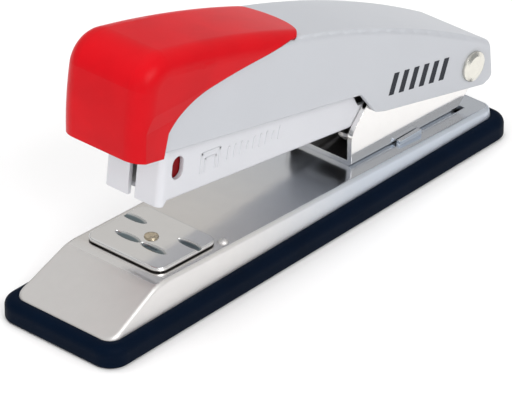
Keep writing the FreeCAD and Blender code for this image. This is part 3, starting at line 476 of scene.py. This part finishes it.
def tube_along(raw, path, radius, sides=8):
    """Sweeps a round wire along a path of points and caps its ends."""
    rings = []
    side = Vector((0, 1, 0))
    for i, point in enumerate(path):
        ahead = path[min(i + 1, len(path) - 1)] - path[max(i - 1, 0)]
        ahead.normalize()
        side = (side - ahead * side.dot(ahead)).normalized()
        other = ahead.cross(side)
        ring = []
        for k in range(sides):
            angle = 2 * math.pi * k / sides
            ring.append(raw.verts.new(point + (side * math.cos(angle)
                                               + other * math.sin(angle)) * radius))
        rings.append(ring)
    for low, high in zip(rings, rings[1:]):
        for k in range(sides):
            after = (k + 1) % sides
            raw.faces.new((low[k], low[after], high[after], high[k]))
    raw.faces.new(list(reversed(rings[0])))
    raw.faces.new(rings[-1])


# ---------------------------------------------------------------- sizes and colours

def colour_prop(name, description, default):
    return bpy.props.FloatVectorProperty(name=name, description=description, default=default,
                                         subtype="COLOR", size=3, min=0.0, max=1.0)


def length_prop(name, description, default):
    return bpy.props.FloatProperty(name=name, description=description, default=default,
                                   unit="LENGTH", subtype="DISTANCE")


def angle_prop(name, description, default):
    return bpy.props.FloatProperty(name=name, description=description, default=default,
                                   unit="ROTATION", subtype="ANGLE")


class StaplerColours(bpy.types.PropertyGroup):
    """Colours a user would change."""
    cap: colour_prop("Cap", "Moulded front cap", (0.555, 0.0035, 0.0085))
    handle: colour_prop("Handle", "Handle cover lacquer", (0.505, 0.52, 0.552))
    magazine: colour_prop("Magazine", "Magazine lacquer", (0.63, 0.637, 0.67))
    rubber: colour_prop("Boot", "Rubber boot", (0.0005, 0.0034, 0.0105))
    nickel: colour_prop("Nickel", "Plated base and bracket", (0.86, 0.845, 0.83))
    chrome: colour_prop("Chrome", "Anvil plate", (0.90, 0.90, 0.895))
    brass: colour_prop("Brass", "Anvil rivet", (0.72, 0.62, 0.46))
    pin: colour_prop("Pin", "Hinge pin and its heads", (0.80, 0.78, 0.71))
    steel: colour_prop("Steel", "Springs and driver blade", (0.42, 0.42, 0.43))
    # The pusher's red is darkened to stand in for the shade it sits in inside the magazine: painted
    # shade.
    pusher: colour_prop("Pusher", "Staple pusher", (0.20, 0.004, 0.006))
    ink: colour_prop("Ink", "Printed stripes on the handle", (0.004, 0.006, 0.012))


class StaplerSizes(bpy.types.PropertyGroup):
    """Sizes of the pieces added to the CAD parts."""
    handle_pitch: angle_prop("Handle tilt", "Tilt of the handle at rest", math.radians(12.0))
    relief_rise: length_prop("Relief", "How far the magazine's marks stand out", 0.00010)
    ink_rise: length_prop("Ink", "Thickness of the printed stripes", 0.00003)
    wire: length_prop("Wire", "Wire of the pusher spring", 0.0004)
    coil_radius: length_prop("Coil", "Mean radius of the pusher spring", 0.00162)
    coils: bpy.props.IntProperty(name="Coils", description="Turns of the pusher spring",
                                 default=25, min=3)


class StudioSettings(bpy.types.PropertyGroup):
    """Camera and light."""
    azimuth: angle_prop("Azimuth", "Way the camera looks, from +Y towards -X",
                        math.radians(-48.503))
    elevation: angle_prop("Elevation", "Height angle of the camera", math.radians(31.453))
    distance: length_prop("Distance", "From the aim point to the camera", 1.0)
    lens: bpy.props.FloatProperty(name="Lens", description="Focal length for a 36 mm sensor",
                                  default=343.63, subtype="DISTANCE_CAMERA")
    floor: length_prop("Floor", "Side of the pale floor", 6.0)
    key_power: bpy.props.FloatProperty(name="Key", description="Power of the key light",
                                       default=9.5, unit="POWER")
    sky: bpy.props.FloatProperty(name="Sky", description="Strength of the soft surround",
                                 default=0.68)


def colours():
    return bpy.context.scene.stapler_colours


def sizes():
    return bpy.context.scene.stapler_sizes


def studio():
    return bpy.context.scene.stapler_studio


# ---------------------------------------------------------------- places of the added pieces
# In millimetres from the hinge pin, with the magazine or the handle drawn level.

# The staple sign is two nested staples: front leg, rear leg, crown height, half of the line.
STAPLE_SIGN = ((-85.4, -79.8, 2.6, 0.28), (-84.2, -81.0, 1.3, 0.22))
SIGN_FOOT = -1.6
RELIEF_BEVEL = 0.08
SIZE_BARS = 9
SIZE_BARS_FRONT = -77.2
SIZE_BARS_STEP = 2.0
SIZE_BARS_UP = 0.6
SIZE_BAR_HALF = 0.3
SIZE_BAR_LEAN = 0.3
TALL_BAR = 1.2
SHORT_BAR = 0.6

STRIPES = 6
STRIPES_FRONT = -28.6
STRIPES_STEP = 3.4
STRIPE_FOOT = -1.2
STRIPE_TOP = 3.8
STRIPE_WIDTH = 1.7
STRIPE_LEAN = 0.9

# The pusher spring's closed end turns, its points a turn, and the least share of its length that is
# kept.
CLOSED_TURNS = 1.4
POINTS_A_TURN = 14
LEAST_KEPT = 0.1

# The studio, in metres.
AIM = (-0.021507, -0.017408, 0.020)
KEY_PLACE, KEY_SIZE = (-0.35, -1.1, 0.9), (0.9, 0.7)
TOP_PLACE, TOP_SIZE, TOP_SHARE = (0.1, 0.25, 1.2), (1.2, 0.8), 0.85
FRONT_PLACE, FRONT_SIZE, FRONT_SHARE = (-1.3, -0.25, 0.3), (0.8, 0.6), 0.55
SENSOR_WIDTH = 36.0
CLIP_RANGE = (0.05, 20.0)
# Colour of the surround by the sine of its height angle.
SURROUND = ((0.0, (0.30, 0.34, 0.40)), (0.30, (0.70, 0.68, 0.655)), (0.50, (0.93, 0.905, 0.88)),
            (0.70, (0.97, 0.965, 0.96)), (1.0, (1.0, 1.0, 1.0)))
FLOOR_TONES = ((0.90, 0.90, 0.90), (0.87, 0.87, 0.875))


# ---------------------------------------------------------------- operators

class STAPLER_OT_base(bpy.types.Operator):
    """Finish the rubber boot and the plated base"""
    bl_idname = "stapler.base"
    bl_label = "Base and boot"

    def execute(self, context):
        give(boot_rubber(colours().rubber), "rubber_boot")
        give(polished_nickel("base_nickel", colours().nickel, 0.15, 0.02, flanks=0.32,
                             blue_reflection_span=(-25.0, 30.0)), "base_shell")
        return {"FINISHED"}


class STAPLER_OT_hinge(bpy.types.Operator):
    """Finish the hinge bracket, its rivets, the pin and the lift spring"""
    bl_idname = "stapler.hinge"
    bl_label = "Hinge"

    def execute(self, context):
        give(polished_nickel("bracket_nickel", colours().nickel, 0.07, 0.008), "hinge_bracket")
        give(turned_metal("pin_nickel", colours().pin, 0.18), "pivot_pin")
        give(turned_metal("rivet_nickel", colours().nickel, 0.2), "bracket_rivets")
        give(spring_steel("lift_steel", colours().steel), "lift_spring")
        return {"FINISHED"}


class STAPLER_OT_anvil(bpy.types.Operator):
    """Finish the anvil, its rivet, washer and spring"""
    bl_idname = "stapler.anvil"
    bl_label = "Anvil"

    def execute(self, context):
        give(struck_chrome(colours().chrome, 0.09), "anvil_plate")
        give(turned_metal("rivet_brass", colours().brass, 0.22), "anvil_rivet")
        give(turned_metal("washer_zinc", colours().steel, 0.3), "anvil_washer")
        give(spring_steel("anvil_spring_steel", colours().steel), "anvil_spring")
        return {"FINISHED"}


class STAPLER_OT_magazine(bpy.types.Operator):
    """Finish the magazine channel, staple rail, rod, stop, rivets and pusher"""
    bl_idname = "stapler.magazine"
    bl_label = "Magazine"

    def execute(self, context):
        give(silver_paint("magazine_paint", colours().magazine, 0.12, 0.36), "magazine_channel")
        give(spring_steel("rail_zinc", ZINC, 0.3), "staple_rail", "rear_stop")
        give(spring_steel("rod_steel", colours().steel, 0.22), "guide_rod")
        give(turned_metal("rail_rivet_zinc", ZINC, 0.3), "rail_rivets")
        # Painted shade: the pusher's colour is darkened for the shade inside the magazine.
        give(cap_plastic("pusher_red", colours().pusher, 0.36), "pusher")
        return {"FINISHED"}


class STAPLER_OT_handle(bpy.types.Operator):
    """Finish the handle cover, driver blade, carrier, leaf and rivets"""
    bl_idname = "stapler.handle"
    bl_label = "Handle"

    def execute(self, context):
        give(silver_paint("handle_paint", colours().handle, 0.15, 0.38), "handle_cover")
        give(spring_steel("blade_steel", colours().steel, 0.2), "driver_blade", "handle_leaf")
        give(spring_steel("carrier_zinc", CARRIER_ZINC, 0.32), "blade_carrier")
        give(turned_metal("top_rivet_zinc", RIVET_ZINC, 0.28), "leaf_rivets", "carrier_rivet")
        return {"FINISHED"}


class STAPLER_OT_cap(bpy.types.Operator):
    """Finish the moulded front cap"""
    bl_idname = "stapler.cap"
    bl_label = "Cap"

    def execute(self, context):
        give(cap_plastic("cap_red", colours().cap), "front_cap")
        return {"FINISHED"}


class STAPLER_OT_pusher_spring(bpy.types.Operator):
    """Wind the pusher spring around the guide rod and hang it on the magazine"""
    bl_idname = "stapler.pusher_spring"
    bl_label = "Pusher spring"

    def execute(self, context):
        tilt = from_pin(magazine_pitch())
        back = tilt.inverted()
        rod_low, rod_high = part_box("guide_rod")
        rod = back @ ((rod_low + rod_high) / 2)
        spring_low, spring_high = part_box("pusher_spring")
        length = (spring_high - spring_low).x / math.cos(magazine_pitch())
        middle = back @ ((spring_low + spring_high) / 2)
        wire = sizes().wire / MM
        radius = sizes().coil_radius / MM
        half = length / MM / 2 - radius * math.sin(magazine_pitch())
        start = middle.x - half + wire
        run = 2 * half - 2 * wire
        turns = sizes().coils
        steps = turns * POINTS_A_TURN

        closed = CLOSED_TURNS / turns
        tight = wire * 1.05 * turns

        def wind(raw):
            path = []
            for i in range(steps + 1):
                share = i / steps
                angle = 2 * math.pi * turns * share
                if share < closed:
                    along = tight * share
                elif share > 1 - closed:
                    along = run - tight * (1 - share)
                else:
                    ends = tight * closed
                    along = ends + (run - 2 * ends) * (share - closed) / (1 - 2 * closed)
                path.append(Vector((start + along, radius * math.cos(angle),
                                    rod.z + radius * math.sin(angle))))
            tube_along(raw, path, wire / 2)

        steel = spring_steel("pusher_spring_steel", colours().steel, 0.24)
        piece = new_piece("pusher_coil", wind, tilt, steel)
        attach(piece, "magazine")
        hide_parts("pusher_spring")
        anchor = tilt @ Vector((start + run + wire / 2, 0, rod.z))
        travel = JOINTS["pusher_slide"]["range_m"][1] / MM
        keep = max((run + wire - travel) / (run + wire), LEAST_KEPT)
        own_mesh(piece)
        return {"FINISHED"}


class STAPLER_OT_relief(bpy.types.Operator):
    """Raise the staple sign and its row of plain bars on the magazine's side"""
    bl_idname = "stapler.relief"
    bl_label = "Magazine relief"

    def execute(self, context):
        wall = NODES["magazine_channel"]
        half = max(v.co.y for v in wall.data.vertices) / MM
        rise = sizes().relief_rise / MM
        paint = wall.material_slots[0].material
        tilt = from_pin(magazine_pitch())
        inner, outer = -(half - 0.05), -(half + rise)

        def sign(raw):
            for front, rear, top, half_bar in STAPLE_SIGN:
                for bar in ((front, SIGN_FOOT, front, top), (front, top, rear, top),
                            (rear, top, rear, SIGN_FOOT)):
                    raised_plate(raw, rounded_bar(*bar, half_bar), inner, outer, RELIEF_BEVEL)

        def bars(raw):
            for number in range(SIZE_BARS):
                x = SIZE_BARS_FRONT + SIZE_BARS_STEP * number
                tall = SHORT_BAR if number % 4 == 3 else TALL_BAR
                bar = (x, SIZE_BARS_UP - tall, x + SIZE_BAR_LEAN, SIZE_BARS_UP + tall)
                raised_plate(raw, rounded_bar(*bar, SIZE_BAR_HALF), inner, outer, RELIEF_BEVEL)

        for name, build in (("staple_sign", sign), ("size_bars", bars)):
            piece = new_piece(name, build, tilt, paint, smooth=False)
            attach(piece, "magazine")
        return {"FINISHED"}


class STAPLER_OT_mark(bpy.types.Operator):
    """Print a plain striped mark on the handle's side"""
    bl_idname = "stapler.mark"
    bl_label = "Printed stripes"

    def execute(self, context):
        cover = NODES["handle_cover"]
        half = max(v.co.y for v in cover.data.vertices) / MM
        rise = sizes().ink_rise / MM
        tilt = from_pin(sizes().handle_pitch)
        inner, outer = -(half - 0.02), -(half + rise)

        def stripes(raw):
            for number in range(STRIPES):
                x = STRIPES_FRONT + STRIPES_STEP * number
                top = x + STRIPE_LEAN
                shape = [(x, STRIPE_FOOT), (x + STRIPE_WIDTH, STRIPE_FOOT),
                         (top + STRIPE_WIDTH, STRIPE_TOP), (top, STRIPE_TOP)]
                raised_plate(raw, shape, inner, outer)

        piece = new_piece("handle_stripes", stripes, tilt, printed_ink(colours().ink), False)
        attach(piece, "handle")
        return {"FINISHED"}


class STAPLER_OT_stage(bpy.types.Operator):
    """Lay the pale floor, hang the soft lights and set the camera"""
    bl_idname = "stapler.stage"
    bl_label = "Studio"

    def floor(self):
        half = studio().floor / 2
        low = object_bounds()[0]

        def sheet(raw):
            corners = [raw.verts.new((x * half, y * half, low.z))
                       for x, y in ((-1, -1), (1, -1), (1, 1), (-1, 1))]
            raw.faces.new(corners)

        f = finish("studio_floor")
        cloud = f.noise(0.004, 2.0)
        tone = f.tint(cloud, *(rgba(colour) for colour in FLOOR_TONES))
        material = f.surface(Base_Color=tone, Roughness=0.7 + 0.1 * cloud)
        new_piece("studio_floor", sheet, Matrix.Identity(4), material, False)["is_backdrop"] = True

    def lamp(self, name, spot, target, size, power, mirrored=True):
        """A soft rectangular lamp. mirrored says whether gloss shows it."""
        data = bpy.data.lights.new(name, "AREA")
        data.shape = "RECTANGLE"
        data.size, data.size_y = size
        data.energy = power
        lamp = bpy.data.objects.new(name, data)
        bpy.context.scene.collection.objects.link(lamp)
        lamp.location = spot
        lamp.rotation_euler = (Vector(target) - Vector(spot)).to_track_quat("-Z", "Y").to_euler()
        lamp.visible_glossy = mirrored

    def sky(self):
        world = bpy.data.worlds.new("studio_surround")
        bpy.context.scene.world = world
        f = Finish(world)
        way = f.node("ShaderNodeTexCoord", output="Generated")
        stops = [(height, rgba(colour)) for height, colour in SURROUND]
        ramp = f.node("ShaderNodeValToRGB", {"stops": stops}, {0: f.along("Z", way)})
        seen = f.node("ShaderNodeLightPath", output="Is Camera Ray")
        tone = f.tint(seen, ramp, (1.0, 1.0, 1.0, 1.0))
        strength = studio().sky + seen * (1.0 - studio().sky)
        glow = f.node("ShaderNodeBackground", None, {"Color": tone, "Strength": strength})
        f.node("ShaderNodeOutputWorld", None, {"Surface": glow})

    def camera(self):
        turn, rise = studio().azimuth, studio().elevation
        back = Vector((math.sin(turn) * math.cos(rise), -math.cos(turn) * math.cos(rise),
                       math.sin(rise)))
        data = bpy.data.cameras.new("studio_camera")
        data.sensor_width = SENSOR_WIDTH
        data.lens = studio().lens
        data.clip_start, data.clip_end = CLIP_RANGE
        camera = bpy.data.objects.new("studio_camera", data)
        bpy.context.scene.collection.objects.link(camera)
        camera.location = Vector(AIM) + back * studio().distance
        camera.rotation_euler = (math.pi / 2 - rise, 0.0, turn)
        bpy.context.scene.camera = camera

    def execute(self, context):
        self.floor()
        self.sky()
        middle = (CAD_LOW + CAD_HIGH) / 2
        power = studio().key_power
        self.lamp("key_softbox", KEY_PLACE, middle, KEY_SIZE, power)
        self.lamp("top_softbox", TOP_PLACE, middle, TOP_SIZE, power * TOP_SHARE, False)
        self.lamp("front_softbox", FRONT_PLACE, middle, FRONT_SIZE, power * FRONT_SHARE, False)
        self.camera()
        context.scene.view_settings.view_transform = "Standard"
        return {"FINISHED"}


class STAPLER_PT_panel(bpy.types.Panel):
    """Lists the stapler's operators, sizes and colours."""
    bl_idname = "STAPLER_PT_panel"
    bl_label = "Stapler"
    bl_space_type = "VIEW_3D"
    bl_region_type = "UI"
    bl_category = "Stapler"

    def draw(self, context):
        for operator in STEPS:
            self.layout.operator(operator.bl_idname)
        for group in (colours(), sizes(), studio()):
            box = self.layout.box()
            for key in group.bl_rna.properties.keys():
                if key not in ("rna_type", "name"):
                    box.prop(group, key)


STEPS = (STAPLER_OT_base, STAPLER_OT_hinge, STAPLER_OT_anvil, STAPLER_OT_magazine,
         STAPLER_OT_handle, STAPLER_OT_cap, STAPLER_OT_pusher_spring, STAPLER_OT_relief,
         STAPLER_OT_mark, STAPLER_OT_stage)
GROUPS = (StaplerColours, StaplerSizes, StudioSettings)


def register():
    for made in GROUPS + STEPS + (STAPLER_PT_panel,):
        bpy.utils.register_class(made)
    pointer = bpy.props.PointerProperty
    bpy.types.Scene.stapler_colours = pointer(type=StaplerColours)
    bpy.types.Scene.stapler_sizes = pointer(type=StaplerSizes)
    bpy.types.Scene.stapler_studio = pointer(type=StudioSettings)


def unregister():
    del bpy.types.Scene.stapler_colours
    del bpy.types.Scene.stapler_sizes
    del bpy.types.Scene.stapler_studio
    for made in reversed(GROUPS + STEPS + (STAPLER_PT_panel,)):
        bpy.utils.unregister_class(made)


def main():
    register()
    for step in STEPS:
        group, name = step.bl_idname.split(".")
        result = getattr(getattr(bpy.ops, group), name)()
        if result != {"FINISHED"}:
            raise RuntimeError("%s did not finish" % step.bl_label)


if __name__ == "__main__":
    main()
